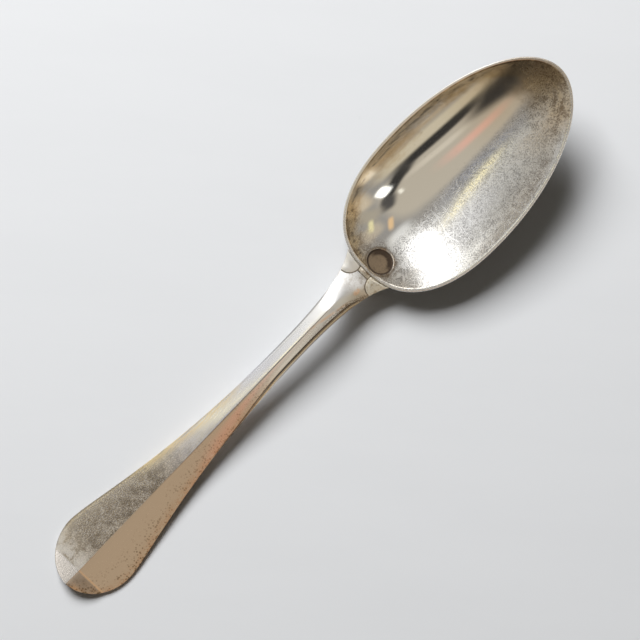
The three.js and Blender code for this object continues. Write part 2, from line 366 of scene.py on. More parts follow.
class Loft:
    """A closed skin, grown from a ring of edges that is extruded again and again and laid to new outlines."""

    def __init__(self, name: str, ring: Sequence[Vector]) -> None:
        """Starts the skin.

        Args:
            name: the piece's name.
            ring: the points of the first ring, in order.
        """
        bpy.ops.object.select_all(action="DESELECT")
        bpy.ops.mesh.primitive_circle_add(vertices=len(ring), radius=1.0, fill_type="NOTHING")
        self.piece = bpy.context.active_object
        self.piece.name = name
        self.piece.data.name = name
        self.ring_size = len(ring)
        self.restart()
        bpy.ops.object.mode_set(mode="EDIT")
        bpy.ops.mesh.select_mode(type="VERT")
        self._lay(ring)

    def restart(self) -> None:
        """Goes back to the first ring, to grow from its open side."""
        self.front = list(range(self.ring_size))

    def _shape(self) -> bmesh.types.BMesh:
        """The mesh in edit mode, with its points numbered.

        Returns:
            The mesh.
        """
        shape = bmesh.from_edit_mesh(self.piece.data)
        shape.verts.ensure_lookup_table()
        shape.verts.index_update()
        return shape

    def _lay(self, ring: Sequence[Vector]) -> None:
        """Lays the front ring to an outline.

        Args:
            ring: the points of the outline, in order.
        """
        shape = self._shape()
        for index, point in zip(self.front, ring):
            shape.verts[index].co = point
        bmesh.update_edit_mesh(self.piece.data)

    def grow(self, ring: Sequence[Vector]) -> None:
        """Extrudes the front ring and lays it to the next outline.

        Args:
            ring: the points of the next ring, in the same order.
        """
        bpy.ops.mesh.select_all(action="DESELECT")
        shape = self._shape()
        for index in self.front:
            shape.verts[index].select = True
        shape.select_flush(True)
        bmesh.update_edit_mesh(self.piece.data)
        bpy.ops.mesh.extrude_edges_move()
        shape = self._shape()
        ahead = []
        for index in self.front:
            here = shape.verts[index]
            beyond = (edge.other_vert(here) for edge in here.link_edges)
            ahead.append(next(point.index for point in beyond if point.select))
        self.front = ahead
        self._lay(ring)

    def close(self, pole: Vector) -> None:
        """Draws the front ring together to one point."""
        self.grow([pole] * len(self.front))
        bpy.ops.mesh.merge(type="COLLAPSE")

    def finish(self, crisp: float) -> bpy.types.Object:
        """Turns all faces outwards and shades the skin.

        Args:
            crisp: the angle between faces above which an edge stays crisp, in radians.

        Returns:
            The piece.
        """
        bpy.ops.mesh.select_all(action="SELECT")
        bpy.ops.mesh.normals_make_consistent(inside=False)
        bpy.ops.object.mode_set(mode="OBJECT")
        bpy.ops.object.shade_smooth_by_angle(angle=crisp)
        return self.piece


def select_only(piece: bpy.types.Object) -> None:
    """Selects one piece alone and makes it the active one.

    Args:
        piece: the piece.
    """
    bpy.ops.object.select_all(action="DESELECT")
    piece.select_set(True)
    bpy.context.view_layer.objects.active = piece


def apply_all(piece: bpy.types.Object) -> None:
    """Applies every modifier of a piece, in order.

    Args:
        piece: the piece, which is left selected.
    """
    select_only(piece)
    for change in list(piece.modifiers):
        bpy.ops.object.modifier_apply(modifier=change.name)


def cut(piece: bpy.types.Object, cutter: bpy.types.Object, place: Matrix) -> None:
    """Takes out of a piece what lies inside a cutter, which is then deleted.

    Args:
        piece: the piece to cut.
        cutter: a closed shape at the origin.
        place: where the cutter goes, and at what scale.
    """
    cutter.data.transform(place)
    change = piece.modifiers.new("cut", "BOOLEAN")
    change.operation = "DIFFERENCE"
    change.object = cutter
    change.solver = "EXACT"
    apply_all(piece)
    bpy.data.objects.remove(cutter)


def note_inset(piece: bpy.types.Object, inset: Callable[[Vector], float]) -> None:
    """Notes on every point of a piece how far in from its outline it lies, in millimetres, for its finish."""
    values = [inset(point.co) / MM for point in piece.data.vertices]
    piece.data.attributes.new(INSET, "FLOAT", "POINT").data.foreach_set("value", values)


def dress(piece: bpy.types.Object, node: str, material: bpy.types.Material) -> None:
    """Gives a piece its finish and its place in the frame.

    Args:
        piece: the finished piece.
        node: the CAD node that it stands for.
        material: the finish.
    """
    piece.data.materials.clear()
    piece.data.materials.append(material)
    piece.visible_diffuse = node != MIRROR_NODE
    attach(piece, BODY)
    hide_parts(node)
    LOG.info("%s: %d faces", piece.name, len(piece.data.polygons))


@dataclass
class Bowl:
    """The raised bowl: an egg-shaped shell with a narrow flat rim and a bare round recess at its root."""

    widest_to_tip: float = 46.0 * MM
    root_fullness: float = 2.4
    tip_fullness: float = 1.97
    root_rim_height: float = 7.4 * MM
    tip_rim_height: float = 21.5 * MM
    rim_sag: float = 0.8 * MM
    rim_width: float = 0.95 * MM
    outer_rounding: float = 0.38 * MM
    inner_rounding: float = 0.52 * MM
    floor_to_tip: float = 53.5 * MM
    floor_thickness: float = 1.2 * MM
    wall_fullness: float = 2.3
    rest_width: float = 4.4 * MM
    mark_width: float = 8.1 * MM
    mark_depth: float = 0.35 * MM
    mark_tilt: float = 0.35
    mark_wall: Pair = (0.9, 1.02)
    mark_lip: float = 0.02 * MM
    lip_inside: Pair = (0.98, 1.05)
    lip_outside: Pair = (1.06, 1.25)
    mark_from_rim: float = 3.9 * MM
    mark_offset: float = 1.1 * MM
    root_zone: float = 7.6 * MM
    root_points: int = 100
    other_points: int = 220
    outer_rings: int = 34
    rounding_rings: int = 6
    wall_top: float = 0.99
    mark_rings: int = 54
    mark_end: float = 0.56
    floor_rings: int = 30
    floor_end: float = 0.012
    least_share: float = 0.01
    crisp: float = math.radians(70)

    def __post_init__(self) -> None:
        """Takes the bowl's reach from the frame."""
        low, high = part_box("bowl")
        self.root_x = low.x
        self.tip_x = high.x
        self.half_width = high.y
        self.widest_x = self.tip_x - self.widest_to_tip
        self.floor_x = self.tip_x - self.floor_to_tip
        self.angles = self._angles()

    def _angles(self) -> list[float]:
        """Angles of the ring points, close together where the recess lies.

        Returns:
            The angles, in order.
        """
        start = math.asin((self.root_zone / self.half_width) ** (self.root_fullness / 2))
        near = []
        for across in spread(-self.root_zone, self.root_zone, self.root_points):
            sine = (abs(across) / self.half_width) ** (self.root_fullness / 2)
            near.append(math.pi + math.copysign(math.asin(sine), across))
        return near + spread(math.pi + start, 3 * math.pi - start, self.other_points)

    def _half(self, along: float) -> Pair:
        """The fullness and the reach of the egg's half on one side of its widest place.

        Args:
            along: above 0 for the half with the tip.

        Returns:
            The fullness and the reach.
        """
        if along > 0:
            return self.tip_fullness, self.tip_x - self.widest_x
        return self.root_fullness, self.widest_x - self.root_x

    def outline(self, angle: float, grow: float) -> Pair:
        """A point of the egg outline.

        Args:
            angle: where it is, from 0 at the tip.
            grow: how far it lies outside the rim's outer edge.

        Returns:
            Its x and y.
        """
        along, across = math.cos(angle), math.sin(angle)
        fullness, reach = self._half(along)
        x = self.widest_x + (reach + grow) * bend(along, 2 / fullness)
        y = (self.half_width + grow) * bend(across, 2 / fullness)
        return x, y

    def inset(self, point: Vector) -> float:
        """How far a point lies in from the egg outline, seen from above.

        Args:
            point: the point.

        Returns:
            The distance, measured towards the middle of the widest place.
        """
        along, across = point.x - self.widest_x, point.y
        fullness, reach = self._half(along)
        share = (abs(along / reach) ** fullness + abs(across / self.half_width) ** fullness) ** (1 / fullness)
        return math.hypot(along, across) * (1 / max(share, self.least_share) - 1)

    def rim_height(self, x: float) -> float:
        """Height of the rim along the bowl: it rises to the tip and sags a little on the way."""
        share = (x - self.root_x) / (self.tip_x - self.root_x)
        return lerp(self.root_rim_height, self.tip_rim_height, share) - self.rim_sag * 4 * share * (1 - share)

    def inner_ring(self, share: float) -> list[Vector]:
        """A ring of the inner wall.

        Args:
            share: how far it lies from the deepest point towards the rim.

        Returns:
            Its points.
        """
        ring = []
        for angle in self.angles:
            x, y = self.outline(angle, -self.rim_width)
            height = lerp(self.floor_thickness, self.rim_height(x), share ** self.wall_fullness)
            ring.append(self._struck(Vector((lerp(self.floor_x, x, share), y * share, height))))
        return ring

    def outer_ring(self, share: float) -> list[Vector]:
        """A ring of the outer wall.

        Args:
            share: how far it lies from the deepest point towards the rim.

        Returns:
            Its points.
        """
        flat = (self.rest_width / (2 * self.half_width)) ** self.wall_fullness
        rise = max(0.0, (share ** self.wall_fullness - flat) / (1 - flat))
        ring = []
        for angle in self.angles:
            x, y = self.outline(angle, 0.0)
            top = self.rim_height(x) - self.outer_rounding * share
            ring.append(Vector((lerp(self.floor_x, x, share), y * share, top * rise)))
        return ring

    def rim_ring(self, grow: float, drop: float) -> list[Vector]:
        """A ring on the rim.

        Args:
            grow: how far it lies outside the rim's outer edge.
            drop: how far it lies below the rim's top.

        Returns:
            Its points.
        """
        ring = []
        for angle in self.angles:
            x, y = self.outline(angle, grow)
            ring.append(Vector((x, y, self.rim_height(x) - drop)))
        return ring

    def mark_place(self) -> tuple[Vector, float]:
        """Where the round punch struck.

        Returns:
            The middle of the recess on the inner wall, and how steep the wall is there, in radians.
        """
        reach = self.floor_x - self.root_x - self.rim_width
        share = 1 - self.mark_from_rim / reach
        depth = self.root_rim_height - self.floor_thickness
        slope = math.atan2(depth * self.wall_fullness * share ** (self.wall_fullness - 1), reach)
        height = self.floor_thickness + depth * share ** self.wall_fullness
        return Vector((self.floor_x - reach * share, -self.mark_offset, height)), slope

    def _struck(self, point: Vector) -> Vector:
        """Drives a point of the inner wall back where the round punch struck it.

        Args:
            point: the point on the smooth wall.

        Returns:
            The point on the struck wall.
        """
        middle, slope = self.mark_place()
        offset = (point - middle) / (self.mark_width / 2)
        along = offset.dot(Vector((math.cos(slope), 0.0, -math.sin(slope))))
        distance = math.hypot(along, offset.y)
        sunk = self.mark_depth * (1.0 + self.mark_tilt * along) * (1 - ease(distance, *self.mark_wall))
        raised = self.mark_lip * ease(distance, *self.lip_inside) * (1 - ease(distance, *self.lip_outside))
        return point + Vector((math.sin(slope), 0.0, math.cos(slope))) * (raised - sunk)

    def build(self) -> bpy.types.Object:
        """Models the shell, from the flat that it rests on, over the rim and down to its floor.

        Returns:
            The piece.
        """
        rest = self.rest_width / (2 * self.half_width)
        skin = Loft("spoon_bowl", self.outer_ring(rest))
        for share in spread(rest, 1.0, self.outer_rings):
            skin.grow(self.outer_ring(share))
        for turn in spread(0.0, math.pi / 2, self.rounding_rings):
            inset = self.outer_rounding * (1 - math.cos(turn))
            skin.grow(self.rim_ring(-inset, self.outer_rounding * (1 - math.sin(turn))))
        flat = self.rim_ring(self.inner_rounding - self.rim_width, 0.0)
        corner = self.rim_ring(-self.rim_width, 0.0)
        wall = self.inner_ring(self.wall_top)
        for share in spread(-1 / self.rounding_rings, 1.0, self.rounding_rings + 1):
            skin.grow([a.lerp(b, share).lerp(b.lerp(c, share), share) for a, b, c in zip(flat, corner, wall)])
        inside = spread(self.wall_top, self.mark_end, self.mark_rings)
        for share in inside + spread(self.mark_end, self.floor_end, self.floor_rings):
            skin.grow(self.inner_ring(share))
        skin.close(Vector((self.floor_x, 0.0, self.floor_thickness)))
        skin.restart()
        skin.close(Vector((self.floor_x, 0.0, 0.0)))
        piece = skin.finish(self.crisp)
        note_inset(piece, self.inset)
        return piece


@dataclass
class Stem:
    """The forged handle: a ridged blade with a turned-up round end, a thick waist and a flat flared neck."""

    end_length: float = 13.8 * MM
    end_fullness: float = 2.0
    flare_lead: float = 8.5 * MM
    waist_width: float = 6.83 * MM
    waist_to_nose: float = 27.4 * MM
    waist_lead: float = 49.8 * MM
    neck_lead: float = 14.6 * MM
    neck_width: float = 9.37 * MM
    neck_to_nose: float = 1.1 * MM
    shoulder_width: float = 18.3 * MM
    shoulder_reach: float = 2.35 * MM
    thickness: float = 2.0 * MM
    end_thickness: float = 1.5 * MM
    waist_thickness: float = 3.4 * MM
    neck_thickness: float = 3.4 * MM
    neck_top: float = 7.4 * MM
    thickening_length: float = 55.0 * MM
    rest_length: float = 3.8 * MM
    rest_to_bend: float = 1.5 * MM
    turn_up_length: float = 5.2 * MM
    turn_up_angle: float = math.radians(22)
    bend_zone: float = 1.2 * MM
    rise_lead: float = 34.0 * MM
    arch_height: float = 7.8 * MM
    arch_to_nose: float = 15.0 * MM
    arch_lead: float = 20.0 * MM
    dip_lead: float = 5.0 * MM
    dip_run_out: float = 6.0 * MM
    ridge_slope: float = math.radians(4.2)
    waist_ridge_slope: float = math.radians(20)
    ridge_lead: float = 70.0 * MM
    neck_ridge_slope: float = math.radians(3.2)
    ridge_rounding: float = 0.3 * MM
    facet_crown: float = 0.35
    facet_shares: tuple[float, ...] = (0.15, 0.3, 0.45, 0.6, 0.75, 0.9)
    waist_facet_width: float = 4.2 * MM
    edge_bevel: float = 0.3 * MM
    side_drop: float = 0.15 * MM
    waist_side_drop: float = 1.3 * MM
    side_bulge: float = 0.7
    side_steps: int = 5
    belly: float = 0.25 * MM
    waist_belly: float = 1.6 * MM
    back_curve: tuple[Pair, ...] = (
        (1.0, 1.0), (0.92, 0.45), (0.7, 0.14), (0.38, 0.03), (0.0, 0.0),
    )
    side_facet_lead: float = 7.5 * MM
    side_facet_run_out: float = 20.0 * MM
    top_flare_to_nose: float = 13.0 * MM
    top_flare_length: float = 11.0 * MM
    heel_thickness: float = 1.7 * MM
    lap_length: float = 4.6 * MM
    lobe_radius: float = 3.4 * MM
    lobe_spacing: float = 11.1 * MM
    lobe_to_nose: float = 0.5 * MM
    solder_gap: float = 0.3 * MM
    end_stations: int = 40
    bend_stations: int = 6
    flare_stations: int = 90
    neck_stations: int = 44
    lobe_segments: int = 96
    cutter_size: float = 100.0 * MM
    crisp: float = math.radians(30)

    def __post_init__(self) -> None:
        """Takes the stem's reach from the frame and works out the places along it."""
        low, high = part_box("stem")
        self.end_x = low.x
        self.half_width = high.y
        self.nose_x = high.x
        self.neck_bottom = self.neck_top - self.neck_thickness
        self.shoulder_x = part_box("bowl")[0].x + self.shoulder_reach
        self.waist_x = self.nose_x - self.waist_to_nose
        self.arch_x = self.nose_x - self.arch_to_nose
        self.widest_x = self.end_x + self.end_length
        self.bend_x = self.end_x + self.turn_up_length
        self.rest_start = self.bend_x + self.rest_to_bend
        self.rest_end = self.rest_start + self.rest_length
        widest, waist = (self.widest_x, self.half_width), (self.waist_x, self.waist_width / 2)
        arch, nose = (self.arch_x, self.arch_height), (self.nose_x, self.neck_bottom)
        self.flare = Bezier.level(widest, waist, self.flare_lead, self.waist_lead)
        self.neck = Bezier((
            waist,
            (self.waist_x + self.neck_lead, self.waist_width / 2),
            (self.nose_x - self.neck_to_nose, self.neck_width / 2),
            (self.shoulder_x, self.shoulder_width / 2),
        ))
        self.rise = Bezier.level((self.rest_end, 0.0), arch, self.rise_lead, self.arch_lead)
        self.dip = Bezier.level(arch, nose, self.dip_lead, self.dip_run_out)

    def half_width_at(self, x: float) -> float:
        """Half the width of the handle and stem.

        Args:
            x: where along the stem.

        Returns:
            The half width.
        """
        if x < self.widest_x:
            share = (self.widest_x - x) / self.end_length
            return self.half_width * max(0.0, 1 - share ** self.end_fullness) ** (1 / self.end_fullness)
        return (self.flare if x < self.waist_x else self.neck).height(x)

    def back_at(self, x: float) -> float:
        """Height of the back: turned up at the end, flat where it rests, arched along the stem.

        Args:
            x: where along the stem.

        Returns:
            The height.
        """
        bent = self.bend_x + self.bend_zone / 2 - x
        if bent > 0:
            run = bent * bent / (2 * self.bend_zone) if bent < self.bend_zone else bent - self.bend_zone / 2
            return run * math.tan(self.turn_up_angle)
        if x < self.rest_end:
            return 0.0
        return (self.rise if x < self.arch_x else self.dip).height(min(x, self.nose_x))

    def thickening_at(self, x: float) -> float:
        """How far the blade has thickened towards the waist, from 0 to 1."""
        return ease(x, self.waist_x - self.thickening_length, self.waist_x)

    def thickness_at(self, x: float) -> float:
        """Thickness on the ridge.

        Args:
            x: where along the stem.

        Returns:
            The thickness.
        """
        if x < self.rest_start:
            return lerp(self.end_thickness, self.thickness, ease(x, self.end_x, self.rest_start))
        waisted = lerp(self.thickness, self.waist_thickness, self.thickening_at(x))
        return lerp(waisted, self.neck_thickness, ease(x, self.waist_x, self.nose_x))

    def section(self, x: float) -> list[Vector]:
        """One section across the stem.

        Args:
            x: where it is.

        Returns:
            Its points, from the ridge down the right side, along the back and up the left side.
        """
        half = self.half_width_at(x)
        facet_end = self.waist_x - self.side_facet_lead
        flare_start = self.nose_x - self.top_flare_to_nose
        into_neck = ease(x, flare_start, flare_start + self.top_flare_length)
        waisted = ease(x, facet_end - self.side_facet_run_out, facet_end) * (1 - into_neck)
        facet = lerp(max(half - self.edge_bevel, half / 2), self.waist_facet_width / 2, waisted)
        steepening = ease(x, self.waist_x - self.ridge_lead, self.waist_x)
        slope = lerp(self.ridge_slope, self.waist_ridge_slope, steepening)
        fall = math.tan(lerp(slope, self.neck_ridge_slope, into_neck))
        top = self.back_at(x) + self.thickness_at(x)
        facet_height = top - facet * fall
        drop = lerp(self.side_drop, self.waist_side_drop, waisted)
        rounding = min(self.ridge_rounding, facet / 4)
        straight = lerp(1.0 - self.facet_crown, 0.0, into_neck)
        points = [(rounding, top - rounding * straight * fall)]
        for share in self.facet_shares:
            across = lerp(rounding, facet, share)
            points.append((across, top - across * lerp(straight, 1.0, across / facet) * fall))
        for share in spread(-1 / self.side_steps, 1.0, self.side_steps + 1):
            pull = 2 * share * (1 - share)
            across = pull * self.side_bulge + share * share
            down = pull * (1 - self.side_bulge) + share * share
            points.append((lerp(facet, half, across), facet_height - drop * down))
        back, lower = self._lower_side(x, half, top, facet_height - drop)
        points += lower
        crown = top - rounding * straight * fall / 2
        right = [Vector((x, -y, z)) for y, z in points]
        left = [Vector((x, y, z)) for y, z in reversed(points)]
        return [Vector((x, 0.0, crown)), *right, Vector((x, 0.0, back)), *left]

    def _lower_side(self, x: float, half: float, top: float,
                    edge: float) -> tuple[float, list[Pair]]:
        """The lower part of one side of a section.

        Args:
            x: where the section is.
            half: its half width.
            top: the height of its ridge.
            edge: the height of its side edge.

        Returns:
            The height of the back's middle, and the points from the edge down to it, as distance and height.
        """
        thickening = self.thickening_at(x)
        into_bowl = max(0.0, (x - self.nose_x) / (self.shoulder_x - self.nose_x))
        back = lerp(self.back_at(x), top - self.edge_bevel, into_bowl * into_bowl)
        belly = min(lerp(self.belly, self.waist_belly, thickening), (edge - back) / 2)
        points = [(half, lerp(edge, back + belly, 0.5))]
        for (wide, up), (next_wide, next_up) in zip(self.back_curve, self.back_curve[1:]):
            for share, lift in ((wide, up), ((wide + next_wide) / 2, (up + next_up) / 2)):
                points.append((half * share, back + belly * lerp(1.0, thickening, 1.0 - lift) * lift))
        return back, points

    def blank(self) -> bpy.types.Object:
        """The stem carried on over the shoulders, before the neck is cut.

        Returns:
            The blank.
        """
        quarter = spread(0.0, math.pi / 2, self.end_stations)
        stations = [self.widest_x - self.end_length * math.cos(angle) for angle in quarter]
        half_bend = self.bend_zone / 2
        stations += spread(self.bend_x - half_bend, self.bend_x + half_bend, self.bend_stations)
        stations += [self.rest_end]
        stations += spread(self.widest_x, self.waist_x, self.flare_stations)
        stations += spread(self.waist_x, self.nose_x + self.solder_gap, self.neck_stations)
        rings = [self.section(x) for x in sorted(stations)]
        first, last = rings[0], rings[-1]
        skin = Loft("spoon_stem", first)
        for ring in rings[1:]:
            skin.grow(ring)
        skin.close(sum(last, Vector()) / len(last))
        skin.restart()
        skin.close(sum(first, Vector()) / len(first) + Vector((self.end_x - first[0].x, 0.0, 0.0)))
        return skin.finish(self.crisp)

    def build(self) -> bpy.types.Object:
        """Models the stem and cuts its neck to the heel that laps it, to the bowl and to the lobes.

        Returns:
            The piece.
        """
        piece = self.blank()
        reach = self.cutter_size
        lap_x = self.nose_x - self.lap_length
        lap_top = self.neck_bottom + self.heel_thickness
        lap = (lap_x + reach / 2, 0.0, lap_top - reach / 2)
        beyond = (self.nose_x + reach / 2, 0.0, 0.0)
        for place in (lap, beyond):
            bpy.ops.mesh.primitive_cube_add(size=1.0, location=(0.0, 0.0, 0.0))
            cut(piece, bpy.context.active_object, Matrix.Translation(place) @ Matrix.Scale(reach, 4))
        for side in (1, -1):
            bpy.ops.mesh.primitive_cylinder_add(
                vertices=self.lobe_segments, depth=reach, radius=self.lobe_radius + self.solder_gap)
            place = (self.nose_x + self.lobe_to_nose, side * self.lobe_spacing / 2, 0.0)
            cut(piece, bpy.context.active_object, Matrix.Translation(place))
        bpy.ops.object.shade_smooth_by_angle(angle=self.crisp)
        note_inset(piece, lambda point: self.half_width_at(point.x) - abs(point.y))
        return piece


@dataclass(frozen=True)
class BowlSilver:
    """Silver of the bowl: bright on its left wall, satin on its right, brown by the rim and in the recess,
    with some painted shade.
    """

    metal: Colour = (0.92, 0.905, 0.87)
    dull: Colour = (0.44, 0.43, 0.42)
    glint: Colour = (0.98, 0.975, 0.96)
    amber: Colour = (0.80, 0.645, 0.43)
    brown: Colour = (0.26, 0.18, 0.105)
    olive: Colour = (0.29, 0.215, 0.14)
    soot_and_shade: Colour = (0.07, 0.048, 0.033)
    mirror_roughness: float = 0.07
    satin_roughness: float = 0.2
    scratch_sets: int = 6
    scratch_turn: float = 0.55
    scratch_length: float = 0.22
    relief: float = 0.045 * MM

    def paint(self, bowl: Bowl) -> bpy.types.Material:
        """Makes the finish.

        Args:
            bowl: the bowl, for the places on it.

        Returns:
            The material.
        """
        surface = Surface("bowl_silver", self.metal)
        x, y, inset = surface.x, surface.y, surface.inset()
        cloud = surface.noise(0.09, 4.0, 0.6)
        patchy = surface.noise(0.4, 3.0, 0.6, shift=21.0)
        grain = surface.noise(2.3, 2.0, 0.65, shift=7.0)
        along_rim = surface.noise((0.12, 0.9, 0.9), 3.0, 0.6, shift=15.0)
        left, right = y.step(-6.0, 5.0), y.step(2.0, -6.0)
        tip = (x + (cloud - 0.5) * 24.0).step(84.0, 101.0)
        root = (x + (cloud - 0.5) * 16.0).step(38.0, 24.0)
        satin = (y + (cloud - 0.5) * 4.0).step(1.2, -1.6).at_least(tip * 0.8).at_least(root * 0.7)
        bits = (grain * 0.75 + patchy * 0.25).step(0.45, 0.585)
        surface.lay(self.dull, satin * bits * (cloud.step(0.3, 0.65) * 0.5 + 0.5))
        scratches = self._scratches(surface) * satin
        surface.lay(self.glint, scratches * 0.8)
        # Warm tarnish runs in from the rim, and over the root and the tip.
        left_rim = (inset + (cloud - 0.5) * 9.0 + (along_rim - 0.5) * 3.0).step(6.5, 1.5) * left
        right_rim = (inset + (patchy - 0.5) * 12.0).step(13.0, 2.0) * inset.step(1.5, 4.0)
        right_rim = right_rim * right * x.step(54.0, 74.0)
        near_tip = left * x.step(66.0, 86.0)
        warmth = left_rim * 0.85 + tip * 0.65 + root * 0.4 + right_rim * 0.2 + near_tip * 0.5
        warmth = warmth.at_most(1.0)
        surface.lay(self.amber, warmth, Blend.GLAZE)
        shaded = right * y.step(-6.0, -14.0) * x.step(50.0, 66.0)
        surface.lay(self.dull, shaded * 0.25 + right_rim * patchy.step(0.44, 0.58) * 0.4)
        blotches = (patchy * 0.65 + grain * 0.35).step(0.47, 0.6)
        left_stain = left_rim * (x.step(42.0, 28.0) * 0.5 + x.step(60.0, 78.0) * 0.3 + 0.15)
        surface.lay(self.brown, (left_stain + root * 0.25 + tip * 0.5 + right_rim * 0.4) * blotches)
        surface.lay(self.brown, left * x.step(80.0, 93.0) * inset.step(9.0, 2.0) * 0.7)
        # Dark streaks and spots lie under the rim, whose top is rubbed bright, and a painted dark reflection
        # lines the rim's inner edge.
        surface.lay(self.soot_and_shade, inset.band(2.4, 0.9) * along_rim.step(0.5, 0.6) * left * 0.6)
        spots = surface.specks(0.55).step(0.2, 0.07) * surface.noise(0.16, shift=3.0).step(0.5, 0.62)
        surface.lay(self.soot_and_shade, spots * (left_rim + root * 0.6 + 0.1).at_most(1.0))
        surface.lay(self.metal, inset.step(1.0, 0.8) * (0.85 - tip * 0.5))
        # Painted dark reflection: a thin dark line along the rim's inner edge, strongest on the left.
        surface.lay(self.soot_and_shade, inset.band(1.2, 0.22) * patchy.step(0.3, 0.55) * (left * 0.5 + 0.2))
        # The recess is brown, mottled dark inside, with painted shade that is darkest under its edge and on
        # its side towards the tip.
        distance, along = self._recess(surface, bowl)
        surface.lay(self.brown, distance.step(1.8, 1.0) * blotches * 0.6)
        surface.lay(self.brown, distance.band(1.1, 0.18) * 0.65)
        struck = (distance + (patchy - 0.5) * 0.12).step(1.06, 0.95)
        # Painted shade: the recess darkens towards its edge, most on its side towards the tip.
        edge = distance.step(0.42, 0.68) * along.step(-0.35, 0.3) + distance.step(0.82, 0.93)
        dark = (edge + (grain * 0.5 + patchy * 0.5 - 0.45) * 1.6).at_most(1.0)
        surface.lay(surface.mix(dark, self.olive, self.soot_and_shade), struck)
        hairs = surface.noise((0.35, 3.5, 3.5), 2.0, 0.6, turn=0.12, shift=11.0)
        rough = satin * (self.satin_roughness - self.mirror_roughness) + self.mirror_roughness
        rough = rough + (scratches + bits * satin) * 0.07 + warmth * 0.08 + struck * 0.25
        height = (grain * 0.15 + scratches * 0.13) * satin * (1.0 - struck) + hairs * 0.03
        return surface.finish(0.97 - warmth * 0.1 - struck * 0.3, rough, height, self.relief)

    def _scratches(self, surface: Surface) -> Shade:
        """Rubbing scratches that cross each other.

        Args:
            surface: the material's node tree.

        Returns:
            1 on a scratch and 0 beside it.
        """
        sets = []
        for count in range(self.scratch_sets):
            turn, fine, shift = 0.2 + self.scratch_turn * count, 0.9 + 0.06 * count, 1.0 + 4.0 * count
            sets.append(surface.scratches(turn, fine, self.scratch_length, shift))
        return sum(sets[1:], sets[0]).at_most(1.0)

    def _recess(self, surface: Surface, bowl: Bowl) -> tuple[Shade, Shade]:
        """The recess, seen from above.

        Args:
            surface: the material's node tree.
            bowl: the bowl, for the place of the recess.

        Returns:
            The distance from its middle, 1 at its edge, and the share of it that runs towards the tip.
        """
        middle, slope = bowl.mark_place()
        radius = bowl.mark_width / MM / 2
        along = (surface.x - middle.x / MM) / (radius * math.cos(slope))
        across = (surface.y - middle.y / MM) / radius
        return (along * along + across * across).root(), along


